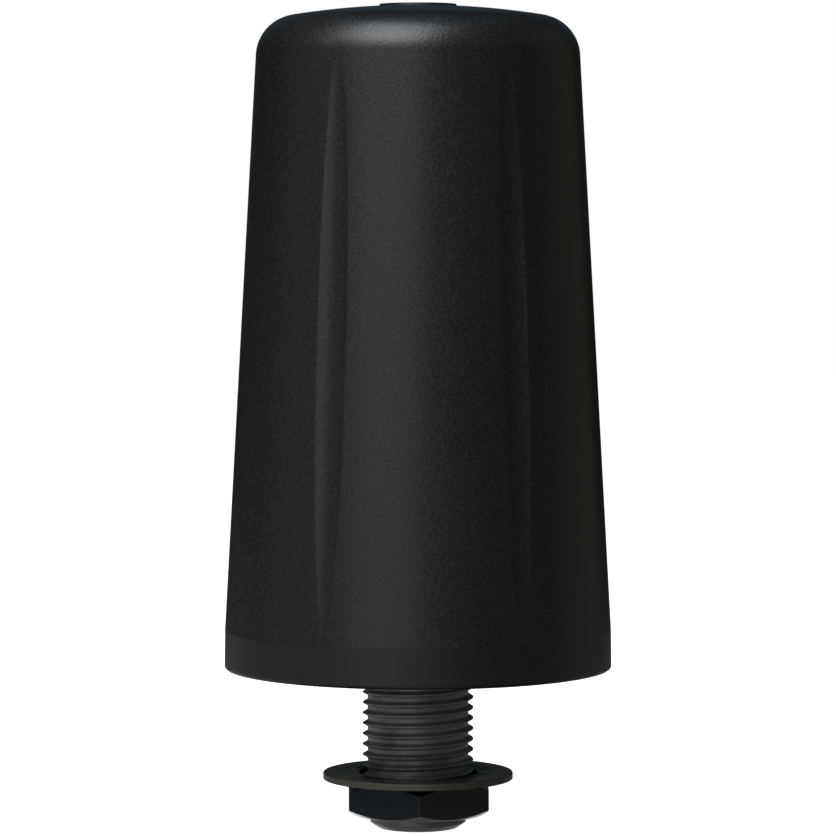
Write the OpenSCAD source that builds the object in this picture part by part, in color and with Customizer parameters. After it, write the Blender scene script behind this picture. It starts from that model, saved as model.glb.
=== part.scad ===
// GNSS receiver with a helical antenna under a tall radome, held by one hollow threaded stud.
// Millimetres. The origin is the centre of the mounting face, the underside of the base gasket.
// +Z runs up the stud's axis to the crown, -Y is the front.

/* [Radome] */
// Outer radius of the taper where it meets the base band
radome_low_r = 27.7; // [26:0.1:30]
// Outer radius of the taper where the shoulder begins
radome_high_r = 23.17; // [22:0.01:25]
// Height of the crown's apex above the base rim
crown_h = 94.8; // [90:0.1:110]
// Radius of the rounded shoulder
shoulder_r = 6; // [3:0.5:9]
// Radius of the shallow dome on top
dome_r = 114.4; // [90:0.1:160]
// Wall thickness
radome_wall = 2.2; // [1.6:0.1:3]
// Radius of the raised disc at the apex
disc_r = 5.5; // [3:0.5:8]
// How far the disc stands proud of the dome
disc_rise = 0.31; // [0.1:0.01:0.6]

/* [Flutes] */
// Azimuths of the flutes, 60 degrees apart at the front and at the back
flute_azimuths = [-58.2, -118.2, 61.8, 121.8];
// Deepest cut into the wall
flute_depth = 0.56; // [0.2:0.02:0.9]
// Radius of the flute's cross-section
flute_section_r = 5.8; // [4:0.1:9]
// Half the length of a flute
flute_half = 40; // [20:1:40]
// Height of a flute's middle above the base rim
flute_mid = 47.5; // [44:0.5:50]

/* [Base] */
// Outer radius of the base at its rim
base_r = 27.77; // [26:0.01:30]
// Height of the band below the seam
band_h = 5.63; // [4:0.01:8]
// Floor thickness of the base
floor_t = 4.5; // [3.5:0.1:5]
// How far the gasket stands out below the rim
gasket_proud = 0.5; // [0.3:0.1:0.8]

/* [Stud] */
// Radius of the plain register, the thread's nominal radius
thread_r = 8; // [6:0.5:10]
// Radius of the thread's crests
crest_r = 7.97; // [5:0.01:10]
// Radius at the thread's root
root_r = 7.25; // [5:0.05:9]
// Thread pitch
pitch = 1.5; // [1:0.25:2]
// Length below the base rim
stud_len = 23; // [20:1:30]
// Length of the plain register below the rim
register_len = 2.5; // [2:0.1:4]
// Radius of the plain point at the lower end
point_r = 6.9; // [6.6:0.1:7.1]
// Radius of the stud's bore around the connector
stud_bore_r = 5.5; // [5:0.1:5.8]

/* [Nut and washer] */
// Distance from the rim to the washer, in the position drawn
panel_gap = 15; // [3:0.5:15]
// Outer radius of the washer
washer_r = 13.65; // [12:0.05:15]
// Thickness of the washer
washer_t = 1; // [0.8:0.1:2]
// Width of the nut across its flats
nut_af = 20; // [19:0.5:24]
// Height of the nut
nut_h = 5; // [4:0.5:8]
// Turn of the nut about its axis
nut_turn = 1.3; // [0:0.1:60]

/* [Antenna] */
// Outer radius of the helix former
helix_r = 14.5; // [10:0.5:15]
// Height of the helix former
helix_h = 54; // [40:1:54]
// Width of one copper arm
arm_w = 3; // [2:0.5:5]
// Turn of an arm from the feed board to the cap
arm_twist = 180; // [90:10:360]

/* [Hidden] */
$fn = 96;
eps = 0.01;

black_plastic = [0.10, 0.10, 0.11];
black_rubber = [0.06, 0.06, 0.06];
dark_metal = [0.24, 0.24, 0.25];
black_metal = [0.08, 0.08, 0.09];
bright_steel = [0.72, 0.72, 0.74];
gold = [0.85, 0.68, 0.32];
copper = [0.78, 0.45, 0.28];
board_green = [0.08, 0.32, 0.18];
white_plastic = [0.90, 0.90, 0.88];
chip_black = [0.12, 0.12, 0.13];
foam_grey = [0.45, 0.46, 0.48];

// Heights, all measured from the gasket's underside
rim_z = gasket_proud;
seam_z = rim_z + band_h;
floor_z = rim_z + floor_t;
apex_z = rim_z + crown_h;
washer_top = rim_z - panel_gap;
nut_top = washer_top - washer_t;
nut_bottom = nut_top - nut_h;
stud_end = rim_z - stud_len;
register_end = rim_z - register_len;

// The radome's taper and the shoulder that blends it into the dome
taper_h = 87 - band_h;
slope = (radome_low_r - radome_high_r) / taper_h;
lean = atan(slope);
dome_z = apex_z - dome_r;
function side_r(z, inset) = radome_low_r - slope * (z - seam_z) - inset / cos(lean);
// The shoulder's centre lies shoulder_r inside the taper and dome_r - shoulder_r from the dome's centre
side_at_dome = side_r(dome_z, shoulder_r);
quad_a = 1 + pow(slope, 2);
quad_b = -slope * side_at_dome;
quad_c = pow(side_at_dome, 2) - pow(dome_r - shoulder_r, 2);
shoulder_rise = (-quad_b + sqrt(pow(quad_b, 2) - quad_a * quad_c)) / quad_a;
shoulder_c = [side_at_dome - slope * shoulder_rise, dome_z + shoulder_rise];
crown_angle = atan2(shoulder_rise, shoulder_c[0]);
function polar(r, a) = [r * cos(a), r * sin(a)];

// Seam, spigot and screws between radome and base
seam_gap = 0.15;
spigot_r = 25.15;
spigot_t = 1.65;
spigot_top = 11;
seal_z = 9.2;
seal_section = 0.44;
seal_groove = 0.75;
seal_groove_half = 0.8;
boss_gap = 0.1;
boss_web_t = 2;
boss_pcr = 20.6;
boss_r = 2.8;
boss_top = 16;
m3_r = 1.5;
m3_head_r = 2.75;
m3_head_h = 1.7;
m3_len = 11.2;
screw_pit = 2.1;
thread_gap = 0.02;

// Gasket and the flange of the stud
gasket_in = 9.8;
gasket_out = 16.4;
gasket_groove = 1.2;
shoulder_fit_r = 8.2;
flange_r = 14;
flange_h = 3;
flange_top = floor_z + flange_h;
flange_pcr = 11.6;
m25_r = 1.25;
m25_head_r = 2.1;
m25_head_h = 1.5;
m25_len = 5;
m25_depth = 2.6;
stud_seal_r = 9.6;
stud_seal_section = 0.53;
stud_groove_half = 0.9;
stud_groove = 1.1;
vent_r = 2.9;
vent_t = 0.8;
vent_bore_r = 1.2;
vent_azimuth = 135;
wire_bore_r = 3.5;
wire_bore_z = -6;

// Socket in the stud's end
shell_r = 5.42;
socket_r = 4.5;
insert_r = 4;
shell_bottom = stud_end + 1.3;
insert_z = shell_bottom + 7;
insert_top = -6.5;
clip_t = 0.75;
clip_r = 6;
contact_count = 5;
contact_pcr = 2.2;
contact_r = 0.75;
contact_top = -5;

// Thread shape: 60 degree flanks, a small flat on the crest
crest_half = 0.06;
flank = tan(30);
base_half = crest_half + (crest_r - root_r) * flank;
nut_gap_r = 0.15;
nut_gap_root = 0.2;
nut_gap_z = 0.08;
thread_steps = 36;

// Boards
board_r = 20;
board_t = 1.6;
main_z = 17;
main_top = main_z + board_t;
feed_z = 26;
feed_top = feed_z + board_t;
spacer_pcr = 17.2;
spacer_af = 4.5;
former_t = 1.2;
former_top = feed_top + helix_h;
copper_t = 0.15;
cap_t = 1.5;
pad_r = 10;
wire_r = 0.4;

module ring(r_out, r_in, z0, z1) {
  translate([0, 0, z0]) difference() {
    cylinder(r = r_out, h = z1 - z0);
    translate([0, 0, -1]) cylinder(r = r_in, h = z1 - z0 + 2);
  }
}

module disc(r, z0, z1) {
  translate([0, 0, z0]) cylinder(r = r, h = z1 - z0);
}

module hex_bar(af, z0, z1) {
  translate([0, 0, z0]) cylinder(r = af / 2 / cos(30), h = z1 - z0, $fn = 6);
}

module torus(r, section) {
  rotate_extrude() translate([r, 0]) circle(r = section, $fn = 24);
}

module around(count, r, first = 0) {
  for (i = [0 : count - 1]) rotate([0, 0, first + i * 360 / count]) translate([r, 0, 0]) children();
}

// A slab centred on a point in plan
module block(centre, size, z0) {
  translate([centre[0] - size[0] / 2, centre[1] - size[1] / 2, z0]) cube(size);
}

// ---- Radome ----

// Half of the radome's section, moved inwards by inset. The shoulder's sector reaches into both neighbours.
module crown_section(inset, bottom) {
  r = shoulder_r - inset;
  reach = shoulder_r * 2;
  share = 30;
  polygon([
    [0, bottom], [side_r(bottom, inset), bottom],
    shoulder_c + polar(r, lean), shoulder_c, [0, shoulder_c[1]]
  ]);
  intersection() {
    translate(shoulder_c) circle(r = r);
    polygon([
      shoulder_c, shoulder_c + polar(reach, lean - share),
      shoulder_c + polar(reach, (lean + crown_angle) / 2), shoulder_c + polar(reach, crown_angle + share)
    ]);
  }
  intersection() {
    translate([0, dome_z]) circle(r = dome_r - inset, $fn = 360);
    polygon([
      [0, shoulder_c[1] - 1], [shoulder_c[0], shoulder_c[1] - 1], shoulder_c,
      shoulder_c + polar(reach, crown_angle), [0, apex_z + reach]
    ]);
  }
}

// Raised disc whose top follows the dome
module crown_disc_section() {
  intersection() {
    translate([0, dome_z]) circle(r = dome_r + disc_rise, $fn = 360);
    translate([0, apex_z - 1]) square([disc_r, 3]);
  }
}

// One flute: a round tool on a long arc that enters and leaves the wall gradually
module flute_cutter() {
  path_r = pow(flute_half, 2) / (2 * flute_depth);
  sweep = asin((flute_half + 4) / path_r);
  mid_z = rim_z + flute_mid;
  mid_x = side_r(mid_z, 0) + (flute_section_r - flute_depth) / cos(lean);
  translate([mid_x, 0, mid_z]) rotate([0, -lean, 0]) rotate([90, 0, 0]) translate([path_r, 0, 0])
    rotate([0, 0, 180 - sweep]) rotate_extrude(angle = 2 * sweep, $fn = 720)
      translate([path_r, 0]) circle(r = flute_section_r, $fn = 48);
}

// Screw boss with a web that reaches half-way into the radome's wall, clear of the spigot
module radome_boss() {
  web_z = spigot_top + 3 * boss_gap;
  web_len = side_r(boss_top, radome_wall / 2) - boss_pcr;
  translate([boss_pcr, 0, 0]) disc(boss_r, floor_z + boss_gap, boss_top);
  translate([boss_pcr, -boss_web_t / 2, web_z]) cube([web_len, boss_web_t, boss_top - web_z]);
}

module radome() {
  color(black_plastic) difference() {
    union() {
      rotate_extrude() difference() {
        union() {
          crown_section(0, seam_z + seam_gap);
          crown_disc_section();
        }
        crown_section(radome_wall, seam_z - 1);
      }
      for (i = [0 : 3]) rotate([0, 0, 90 * i]) radome_boss();
    }
    for (a = flute_azimuths) rotate([0, 0, a]) flute_cutter();
    around(4, boss_pcr) disc(m3_r + thread_gap, floor_z - 1, boss_top - 1.5);
  }
}

module radome_seal() {
  color(black_rubber) translate([0, 0, seal_z]) torus(spigot_r - seal_groove + seal_section, seal_section);
}

// ---- Base ----

module base_section() {
  edge = 0.4;
  translate([base_r - edge, rim_z + edge]) circle(r = edge, $fn = 32);
  polygon([
    [0, rim_z], [base_r - edge, rim_z], [base_r - edge, rim_z + edge], [base_r, rim_z + edge],
    [radome_low_r, seam_z], [spigot_r, seam_z], [spigot_r, spigot_top], [spigot_r - spigot_t, spigot_top],
    [spigot_r - spigot_t, floor_z], [0, floor_z]
  ]);
}

module base_housing() {
  pit_r = m3_head_r + 0.3;
  color(black_plastic) difference() {
    rotate_extrude() base_section();
    ring(spigot_r + 1, spigot_r - seal_groove, seal_z - seal_groove_half, seal_z + seal_groove_half);
    ring(gasket_out, gasket_in, rim_z - 1, rim_z + gasket_groove);
    disc(shoulder_fit_r + 0.1, 0, floor_z + 1);
    ring(stud_seal_r + stud_groove_half, stud_seal_r - stud_groove_half, floor_z - stud_groove, floor_z + 1);
    around(4, flange_pcr, 45) disc(m25_r + thread_gap, floor_z - m25_depth, floor_z + 1);
    around(4, spacer_pcr, 45) disc(m25_r + thread_gap, floor_z - m25_depth, floor_z + 1);
    around(4, boss_pcr) disc(m3_r + 0.2, 0, floor_z + 1);
    around(4, boss_pcr) disc(pit_r, 0, rim_z + screw_pit);
    around(1, boss_pcr, vent_azimuth) disc(vent_bore_r, 0, floor_z + 1);
    around(1, boss_pcr, vent_azimuth) disc(vent_r + 0.1, 0, rim_z + 1);
  }
}

// Pan-head screw with its head down and a six-lobed recess
module screw_up(r, head_r, head_h, length, head_z) {
  difference() {
    union() {
      disc(head_r, head_z, head_z + head_h);
      disc(r, head_z + head_h - eps, head_z + head_h + length);
    }
    around(6, head_r * 0.22) disc(head_r * 0.16, head_z - 1, head_z + head_h * 0.6);
    disc(head_r * 0.3, head_z - 1, head_z + head_h * 0.6);
  }
}

// The same screw with its head up: its shank's end is at low_z
module screw_down(r, head_r, head_h, length, low_z) {
  mirror([0, 0, 1]) screw_up(r, head_r, head_h, length, -low_z - length - head_h);
}

module base_screws() {
  color(bright_steel) around(4, boss_pcr)
    screw_up(m3_r, m3_head_r, m3_head_h, m3_len, rim_z + screw_pit - m3_head_h);
}

// Pressed-in vent with four breathing holes
module vent_plug() {
  sunk = 0.15;
  color(chip_black) around(1, boss_pcr, vent_azimuth) difference() {
    disc(vent_r, rim_z + sunk, rim_z + sunk + vent_t);
    around(4, vent_r / 2) disc(vent_r / 7, rim_z, rim_z + 2);
  }
}

// Flat ring in its groove, with two sealing grooves in its underside
module mounting_gasket() {
  side_gap = 0.1;
  groove_r = 0.36;
  groove_inset = 2.2;
  color(black_rubber) rotate_extrude() difference() {
    translate([gasket_in + side_gap, 0])
      square([gasket_out - gasket_in - 2 * side_gap, rim_z + gasket_groove - 0.02]);
    for (r = [gasket_in + groove_inset, gasket_out - groove_inset])
      translate([r, 0]) circle(r = groove_r, $fn = 24);
  }
}

// ---- Stud, washer and nut ----

// Rod with a right-hand helical thread; the crest's middle climbs one pitch per turn from low_z.
// Column k of the surface runs up the rod: flank foot, crest, crest, flank foot, and so on.
module thread_rod(foot_r, tip_r, tip_half, foot_half, low_z, turns) {
  n = thread_steps;
  rows = 4 * turns + 4;
  offsets = [-foot_half, -tip_half, tip_half, foot_half];
  radii = [foot_r, tip_r, tip_r, foot_r];
  function height(j, k) = low_z + pitch * (floor(k / 4) + j / n) + offsets[k % 4];
  function spot(j, k) = [
    radii[k % 4] * cos(360 * j / n), radii[k % 4] * sin(360 * j / n), height(j, k)
  ];
  // The last column is the first one lifted by one pitch, so step n borrows from step 0
  function id(j, k) = j < n ? j * rows + k : k + 4;
  body = [for (j = [0 : n - 1]) for (k = [0 : rows - 1]) spot(j, k)];
  low_c = len(body);
  high_c = low_c + 1;
  points = concat(body, [[0, 0, low_z + pitch / 2], [0, 0, low_z + pitch * (turns + 0.5)]]);
  last = rows - 1;
  walls = [
    for (j = [0 : n - 1]) for (k = [0 : (j < n - 1 ? rows : rows - 4) - 2])
      each [[id(j, k), id(j, k + 1), id(j + 1, k + 1)], [id(j, k), id(j + 1, k + 1), id(j + 1, k)]]
  ];
  low_cap = concat(
    [for (j = [0 : n - 2]) [low_c, id(j, 0), id(j + 1, 0)]],
    [[low_c, id(n - 1, 0), id(0, 4)]],
    [for (k = [4 : -1 : 1]) [low_c, id(0, k), id(0, k - 1)]]
  );
  high_cap = concat(
    [for (j = [0 : n - 2]) [high_c, id(j + 1, last), id(j, last)]],
    [[high_c, id(n - 1, last - 4), id(n - 1, last - 3)], [high_c, id(n - 1, last - 3), id(n - 1, last - 2)],
     [high_c, id(n - 1, last - 2), id(n - 1, last - 1)], [high_c, id(n - 1, last - 1), id(n - 1, last)]],
    [[high_c, id(0, last), id(n - 1, last - 4)]]
  );
  polyhedron(points = points, faces = concat(walls, low_cap, high_cap));
}

// Hollow stud: flange inside the base, plain register, thread, and a plain point below it
module threaded_stud() {
  chamfer = thread_r - point_r + 0.3;
  end_edge_r = 1.2;
  end_edge_h = 0.8;
  thread_low = stud_end + 1.7;
  thread_start = stud_end - 2.5 * pitch;
  color(dark_metal) difference() {
    union() {
      disc(flange_r, floor_z, flange_top);
      disc(shoulder_fit_r, rim_z, floor_z);
      disc(thread_r, register_end, rim_z);
      intersection() {
        thread_rod(root_r, crest_r, crest_half, base_half, thread_start, 16);
        rotate_extrude() polygon([
          [0, stud_end], [point_r - end_edge_r, stud_end],
          [point_r, stud_end + end_edge_h], [point_r, thread_low],
          [point_r + chamfer, thread_low + chamfer], [point_r + chamfer, register_end], [0, register_end]
        ]);
      }
    }
    disc(stud_bore_r, stud_end - 1, wire_bore_z);
    disc(wire_bore_r, stud_end - 1, flange_top + 1);
    ring(clip_r, stud_bore_r - 1, shell_bottom - clip_t - 0.05, shell_bottom);
    around(4, flange_pcr, 45) disc(m25_r + 0.2, floor_z - 1, flange_top + 1);
  }
}

module stud_seal() {
  color(black_rubber) translate([0, 0, floor_z - stud_groove / 2 - eps])
    torus(stud_seal_r, stud_seal_section);
}

module stud_screws() {
  color(bright_steel) around(4, flange_pcr, 45)
    screw_down(m25_r, m25_head_r, m25_head_h, m25_len, flange_top - m25_len);
}

module flat_washer() {
  edge = 0.15;
  hole_r = thread_r + 0.5;
  color(dark_metal) rotate_extrude() polygon([
    [hole_r, nut_top], [washer_r - edge, nut_top], [washer_r, nut_top + edge],
    [washer_r, washer_top - edge], [washer_r - edge, washer_top], [hole_r, washer_top]
  ]);
}

// Jam nut with both faces chamfered and a countersink at each mouth of its thread
module hex_nut() {
  corner = nut_af / 2 / cos(30);
  face_r = nut_af * 0.48;
  bevel = (corner + 0.2 - face_r) * tan(30);
  mouth = 0.5;
  tap_foot = root_r + nut_gap_root;
  tap_tip = crest_r + nut_gap_r;
  tap_half = crest_half + nut_gap_z - nut_gap_r * flank;
  foot_half = tap_half + (tap_tip - tap_foot) * flank;
  color(black_metal) difference() {
    intersection() {
      rotate([0, 0, 30 + nut_turn]) hex_bar(nut_af, nut_bottom, nut_top);
      rotate_extrude() polygon([
        [0, nut_bottom], [face_r, nut_bottom], [corner + 0.2, nut_bottom + bevel],
        [corner + 0.2, nut_top - bevel], [face_r, nut_top], [0, nut_top]
      ]);
    }
    thread_rod(tap_foot, tap_tip, tap_half, foot_half, stud_end - 2.5 * pitch, 8);
    for (up = [0, 1]) translate([0, 0, up ? nut_top : nut_bottom]) mirror([0, 0, up])
      translate([0, 0, -1]) cylinder(r1 = tap_tip + mouth + 1, r2 = tap_tip - mouth - 0.3, h = 1.8 + mouth);
  }
}

// ---- Socket in the stud ----

module connector_shell() {
  key_w = 1.2;
  color(bright_steel) difference() {
    disc(shell_r, shell_bottom, wire_bore_z - 0.02);
    disc(socket_r, shell_bottom - 1, insert_z);
    disc(insert_r, shell_bottom - 1, 0);
    ring(shell_r + 1, shell_r - 0.7, -10.6, -9.4);
    translate([-key_w / 2, -socket_r - 0.4, shell_bottom - 1]) cube([key_w, 3, 7]);
  }
}

module connector_seal() {
  color(black_rubber) translate([0, 0, -10]) torus(shell_r - 0.28, 0.34);
}

module contact_places() {
  around(contact_count, contact_pcr, 90) children();
}

module connector_insulator() {
  color(chip_black) difference() {
    disc(insert_r - 0.03, insert_z, insert_top);
    contact_places() disc(contact_r + 0.03, insert_z - 1, 0);
  }
}

module connector_contacts() {
  color(gold) contact_places() difference() {
    disc(contact_r, insert_z + 0.3, contact_top);
    disc(0.5, insert_z, insert_z + 5);
  }
}

module connector_circlip() {
  opening = 26;
  color(bright_steel) translate([0, 0, shell_bottom - clip_t]) rotate([0, 0, 90 + opening / 2])
    rotate_extrude(angle = 360 - opening) translate([socket_r + 0.2, 0])
      square([clip_r - 0.1 - socket_r - 0.2, clip_t - 0.05]);
}

// ---- Wiring from the socket to the main board ----

plug_low = 10.4;
header_low = 13.7;
row_step = 1.5;
row_len = 9;

// Five wires leave the contacts' circle and fan out into the plug's row
module inner_harness() {
  rings = 14;
  sides = 8;
  order = [2, 0, 1, 3, 4];
  function blend(t) = t * t * (3 - 2 * t);
  function along(i, t) =
    let(a = 90 + i * 360 / contact_count, b = blend(max(0, min(1, (t - 0.4) / 0.6))))
    let(from = polar(contact_pcr, a), to = [(order[i] - 2) * row_step, 0])
    concat(from * (1 - b) + to * b, contact_top + t * (plug_low - contact_top));
  color(black_rubber) for (i = [0 : contact_count - 1]) {
    points = [
      for (k = [0 : rings]) for (s = [0 : sides - 1])
        along(i, k / rings) + concat(polar(wire_r, s * 360 / sides), 0)
    ];
    walls = [
      for (k = [0 : rings - 1]) for (s = [0 : sides - 1])
        [k * sides + s, (k + 1) * sides + s, (k + 1) * sides + (s + 1) % sides, k * sides + (s + 1) % sides]
    ];
    low_cap = [[for (s = [0 : sides - 1]) s]];
    high_cap = [[for (s = [sides - 1 : -1 : 0]) rings * sides + s]];
    polyhedron(points = points, faces = concat(walls, low_cap, high_cap));
  }
}

module harness_plug() {
  color(white_plastic) difference() {
    block([0, 0], [row_len, 3, header_low - plug_low], plug_low);
    for (i = [-2 : 2]) block([i * row_step, 1.5], [0.8, 0.6, 1.2], plug_low + 1);
  }
}

module board_header() {
  color(chip_black) block([0, 0], [row_len + 1.2, 4.2, main_z - header_low], header_low);
}

// ---- Boards ----

module spacers(z0, z1, stud_low) {
  around(4, spacer_pcr, 45) {
    hex_bar(spacer_af, z0, z1);
    disc(m25_r, stud_low, z0 + eps);
  }
}

module board_spacers() {
  color(gold) difference() {
    spacers(floor_z, main_z, floor_z - 2.4);
    around(4, spacer_pcr, 45) disc(m25_r + thread_gap, main_z - m25_len, main_z + 1);
  }
}

module upper_spacers() {
  color(gold) difference() {
    spacers(main_top, feed_z, main_z - 4);
    around(4, spacer_pcr, 45) disc(m25_r + thread_gap, feed_z - m25_len, feed_z + 1);
  }
}

module board_plate(z, hole_r) {
  difference() {
    disc(board_r, z, z + board_t);
    around(4, spacer_pcr, 45) disc(hole_r, z - 1, z + board_t + 1);
  }
}

module main_board() {
  color(board_green) board_plate(main_z, m25_r + 0.15);
}

// Pressed can with a row of vent holes in its lid
module can(centre, size, z0) {
  t = 0.3;
  difference() {
    block(centre, size, z0);
    block(centre, [size[0] - 2 * t, size[1] - 2 * t, size[2] - t], z0 - eps);
    for (i = [-2 : 2]) for (j = [-1 : 1])
      translate([centre[0] + i * 2.2, centre[1] + j * 2.2, z0]) cylinder(r = 0.4, h = size[2] + 1, $fn = 24);
  }
}

module receiver_shield() {
  color(bright_steel) can([-1, 8], [14, 11, 2.6], main_top);
}

module gnss_module() {
  color(gold) block([-3, -5.5], [12.2, 13, 0.8], main_top);
  color(bright_steel) block([-3, -5.5], [11.6, 12.2, 1.6], main_top + 0.8 - eps);
}

module board_chips() {
  color(chip_black) {
    block([10, 6], [4, 4, 1], main_top);
    block([10, 0.5], [3.2, 4, 1.4], main_top);
    for (i = [0 : 4]) block([-1.5 + i * 2.1, -14.5], [1, 1.8, 0.8], main_top);
    for (i = [0 : 3]) block([-13.5, -4 + i * 2.6], [2, 1.2, 0.7], main_top);
  }
}

module backup_cell() {
  color(bright_steel) translate([9, -6.5, main_top]) {
    cylinder(r = 3.4, h = 0.6);
    translate([0, 0, 0.6 - eps]) cylinder(r = 3, h = 1.5);
  }
}

// Straight jumper between the two boards with a snap-on plug at each end
module antenna_lead() {
  color(gold) translate([15.5, 0, 0]) {
    disc(0.65, main_top, feed_z);
    disc(1.4, main_top, main_top + 1.7);
    disc(1.4, feed_z - 1.7, feed_z);
  }
}

module feed_board() {
  color(board_green) board_plate(feed_z, m25_r + 0.15);
}

module feed_screws() {
  color(bright_steel) around(4, spacer_pcr, 45)
    screw_down(m25_r, m25_head_r, m25_head_h, m25_len, feed_top - m25_len);
}

module lna_shield() {
  color(bright_steel) can([0, 0], [14, 10, 2.6], feed_top);
}

// ---- Helix ----

module helix_former() {
  color(white_plastic) difference() {
    ring(helix_r, helix_r - former_t, feed_top, former_top);
    for (z = [feed_top + 12 : 14 : former_top - 10]) for (a = [0, 90])
      rotate([0, 0, a]) translate([-20, 0, z]) rotate([0, 90, 0]) cylinder(r = 1.5, h = 40);
  }
}

// Four copper strips wound on the former
module helix_arms() {
  steps = 24;
  low = feed_top + 1.2;
  high = former_top - 0.5;
  half = arm_w / 2 / helix_r * 180 / PI;
  inner = helix_r + eps;
  outer = helix_r + copper_t;
  columns = [[inner, -half], [outer, -half], [outer, half], [inner, half]];
  function corner(k, c) =
    concat(polar(columns[c][0], columns[c][1] + arm_twist * k / steps), low + (high - low) * k / steps);
  points = [for (k = [0 : steps]) for (c = [0 : 3]) corner(k, c)];
  walls = [
    for (k = [0 : steps - 1]) for (c = [0 : 3])
      each [
        [k * 4 + c, (k + 1) * 4 + c, (k + 1) * 4 + (c + 1) % 4],
        [k * 4 + c, (k + 1) * 4 + (c + 1) % 4, k * 4 + (c + 1) % 4]
      ]
  ];
  top = steps * 4;
  ends = [[0, 1, 2], [0, 2, 3], [top + 2, top + 1, top], [top + 3, top + 2, top]];
  color(copper) for (a = [0 : 3]) rotate([0, 0, 90 * a])
    polyhedron(points = points, faces = concat(walls, ends));
}

module feed_pins() {
  color(gold) around(4, helix_r + 0.7) disc(0.5, feed_top, feed_top + 2.5);
}

module helix_cap() {
  color(white_plastic) {
    disc(helix_r, former_top, former_top + cap_t);
    ring(helix_r - former_t - 0.1, helix_r - former_t - 1.2, former_top - 2, former_top + eps);
  }
}

module crown_pad() {
  pad_top = apex_z - radome_wall - 0.75;
  color(foam_grey) disc(pad_r, former_top + cap_t, pad_top);
}

radome();
radome_seal();
base_housing();
base_screws();
vent_plug();
mounting_gasket();
threaded_stud();
stud_seal();
stud_screws();
flat_washer();
hex_nut();
connector_shell();
connector_seal();
connector_insulator();
connector_contacts();
connector_circlip();
inner_harness();
harness_plug();
board_header();
board_spacers();
main_board();
receiver_shield();
gnss_module();
board_chips();
backup_cell();
upper_spacers();
antenna_lead();
feed_board();
feed_screws();
lna_shield();
helix_former();
helix_arms();
feed_pins();
helix_cap();
crown_pad();
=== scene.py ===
"""Looks of the GNSS receiver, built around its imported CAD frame. Metres, +Z up, -Y the front."""
import math

import bmesh
import bpy
import numpy as np
from mathutils import Matrix, Vector


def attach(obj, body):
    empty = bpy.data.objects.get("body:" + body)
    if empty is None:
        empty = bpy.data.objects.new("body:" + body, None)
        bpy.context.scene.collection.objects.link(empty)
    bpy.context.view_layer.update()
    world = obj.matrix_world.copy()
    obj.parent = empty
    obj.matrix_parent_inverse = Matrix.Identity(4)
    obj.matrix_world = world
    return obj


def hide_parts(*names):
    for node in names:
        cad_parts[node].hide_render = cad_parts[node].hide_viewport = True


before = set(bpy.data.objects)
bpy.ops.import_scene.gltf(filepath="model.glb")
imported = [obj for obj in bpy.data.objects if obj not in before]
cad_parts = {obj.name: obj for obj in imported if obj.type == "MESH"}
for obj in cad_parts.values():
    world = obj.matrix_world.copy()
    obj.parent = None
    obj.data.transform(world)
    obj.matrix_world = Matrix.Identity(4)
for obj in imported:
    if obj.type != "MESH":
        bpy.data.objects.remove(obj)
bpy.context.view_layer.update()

MM = 0.001

# Mesh points closer than this, in metres, become one. Edges over this angle, in degrees, stay sharp
MERGE_DISTANCE = 2e-7
SHARP_ANGLE = 35.0

# Sizes in millimetres. The finer meshes repeat the CAD part's, and add rounded edges of their own

# Radome
RIM_Z = 0.5
FLOOR_Z = RIM_Z + 4.5
BAND_H = 5.63
SEAM_Z = RIM_Z + BAND_H
APEX_Z = RIM_Z + 94.8
LOW_R = 27.7
HIGH_R = 23.17
TAPER_H = 87.0 - BAND_H
SHOULDER_R = 6.0
DOME_R = 114.4
DOME_Z = APEX_Z - DOME_R
WALL = 2.2
DISC_R = 5.5
DISC_RISE = 0.31
FLUTE_DEPTH = 0.56
FLUTE_SECTION_R = 5.8
FLUTE_HALF = 40.0
FLUTE_MID = RIM_Z + 47.5
FLUTE_AZIMUTHS = (-118.2, -58.2, 61.8, 121.8)
BOSS_PCR = 20.6
BOSS_R = 2.8
BOSS_TOP = 16.0
BOSS_BORE_R = 1.52
BOSS_BORE_TOP = BOSS_TOP - 1.5
WEB_LOW = 11.3
WEB_HIGH = BOSS_TOP - 0.3
WEB_HALF = 1.0

# Base and gasket
BASE_R = 27.77
SPIGOT_R = 25.15
SPIGOT_T = 1.65
SPIGOT_TOP = 11.0
SEAL_Z = 9.2
SEAL_HALF = 0.8
SEAL_DEPTH = 0.75
SHOULDER_HOLE_R = 8.3
STUD_SEAL_IN = 8.7
STUD_SEAL_OUT = 10.5
STUD_SEAL_DEPTH = 1.1
SPACER_PCR = 17.2
SCREW_HOLE_R = 1.27
SCREW_PIT = 2.1
SCREW_PIT_R = 3.05
SCREW_WAY_R = 1.7
BLIND_DEPTH = 2.6
VENT_PIT_R = 3.0
VENT_PIT = 1.0
VENT_WAY_R = 1.2
VENT_AZIMUTH = 135.0
GASKET_IN = 9.8
GASKET_OUT = 16.4
GASKET_GROOVE = 1.2
GASKET_LINE_IN = 2.2
GASKET_LINE_R = 0.36

# Stud
PITCH = 1.5
STUD_END = RIM_Z - 23.0
CREST_Z = STUD_END - 2.5 * PITCH
REGISTER_R = 8.0
REGISTER_END = RIM_Z - 2.5
SHOULDER_FIT_R = 8.2
POINT_R = 6.9
POINT_TOP = STUD_END + 1.7
POINT_EDGE_R = 1.2
POINT_EDGE_H = 0.8
FLANGE_R = 14.0
FLANGE_TOP = FLOOR_Z + 3.0
FLANGE_PCR = 11.6
FLANGE_HOLE_R = 1.45
STUD_BORE_R = 5.5
WIRE_BORE_R = 3.5
WIRE_BORE_Z = -6.0
CLIP_R = 6.0
CLIP_TOP = STUD_END + 1.3
CLIP_H = 0.8
STUD_THREAD = dict(foot_r=7.25, tip_r=7.97, tip_half=0.06)

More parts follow.
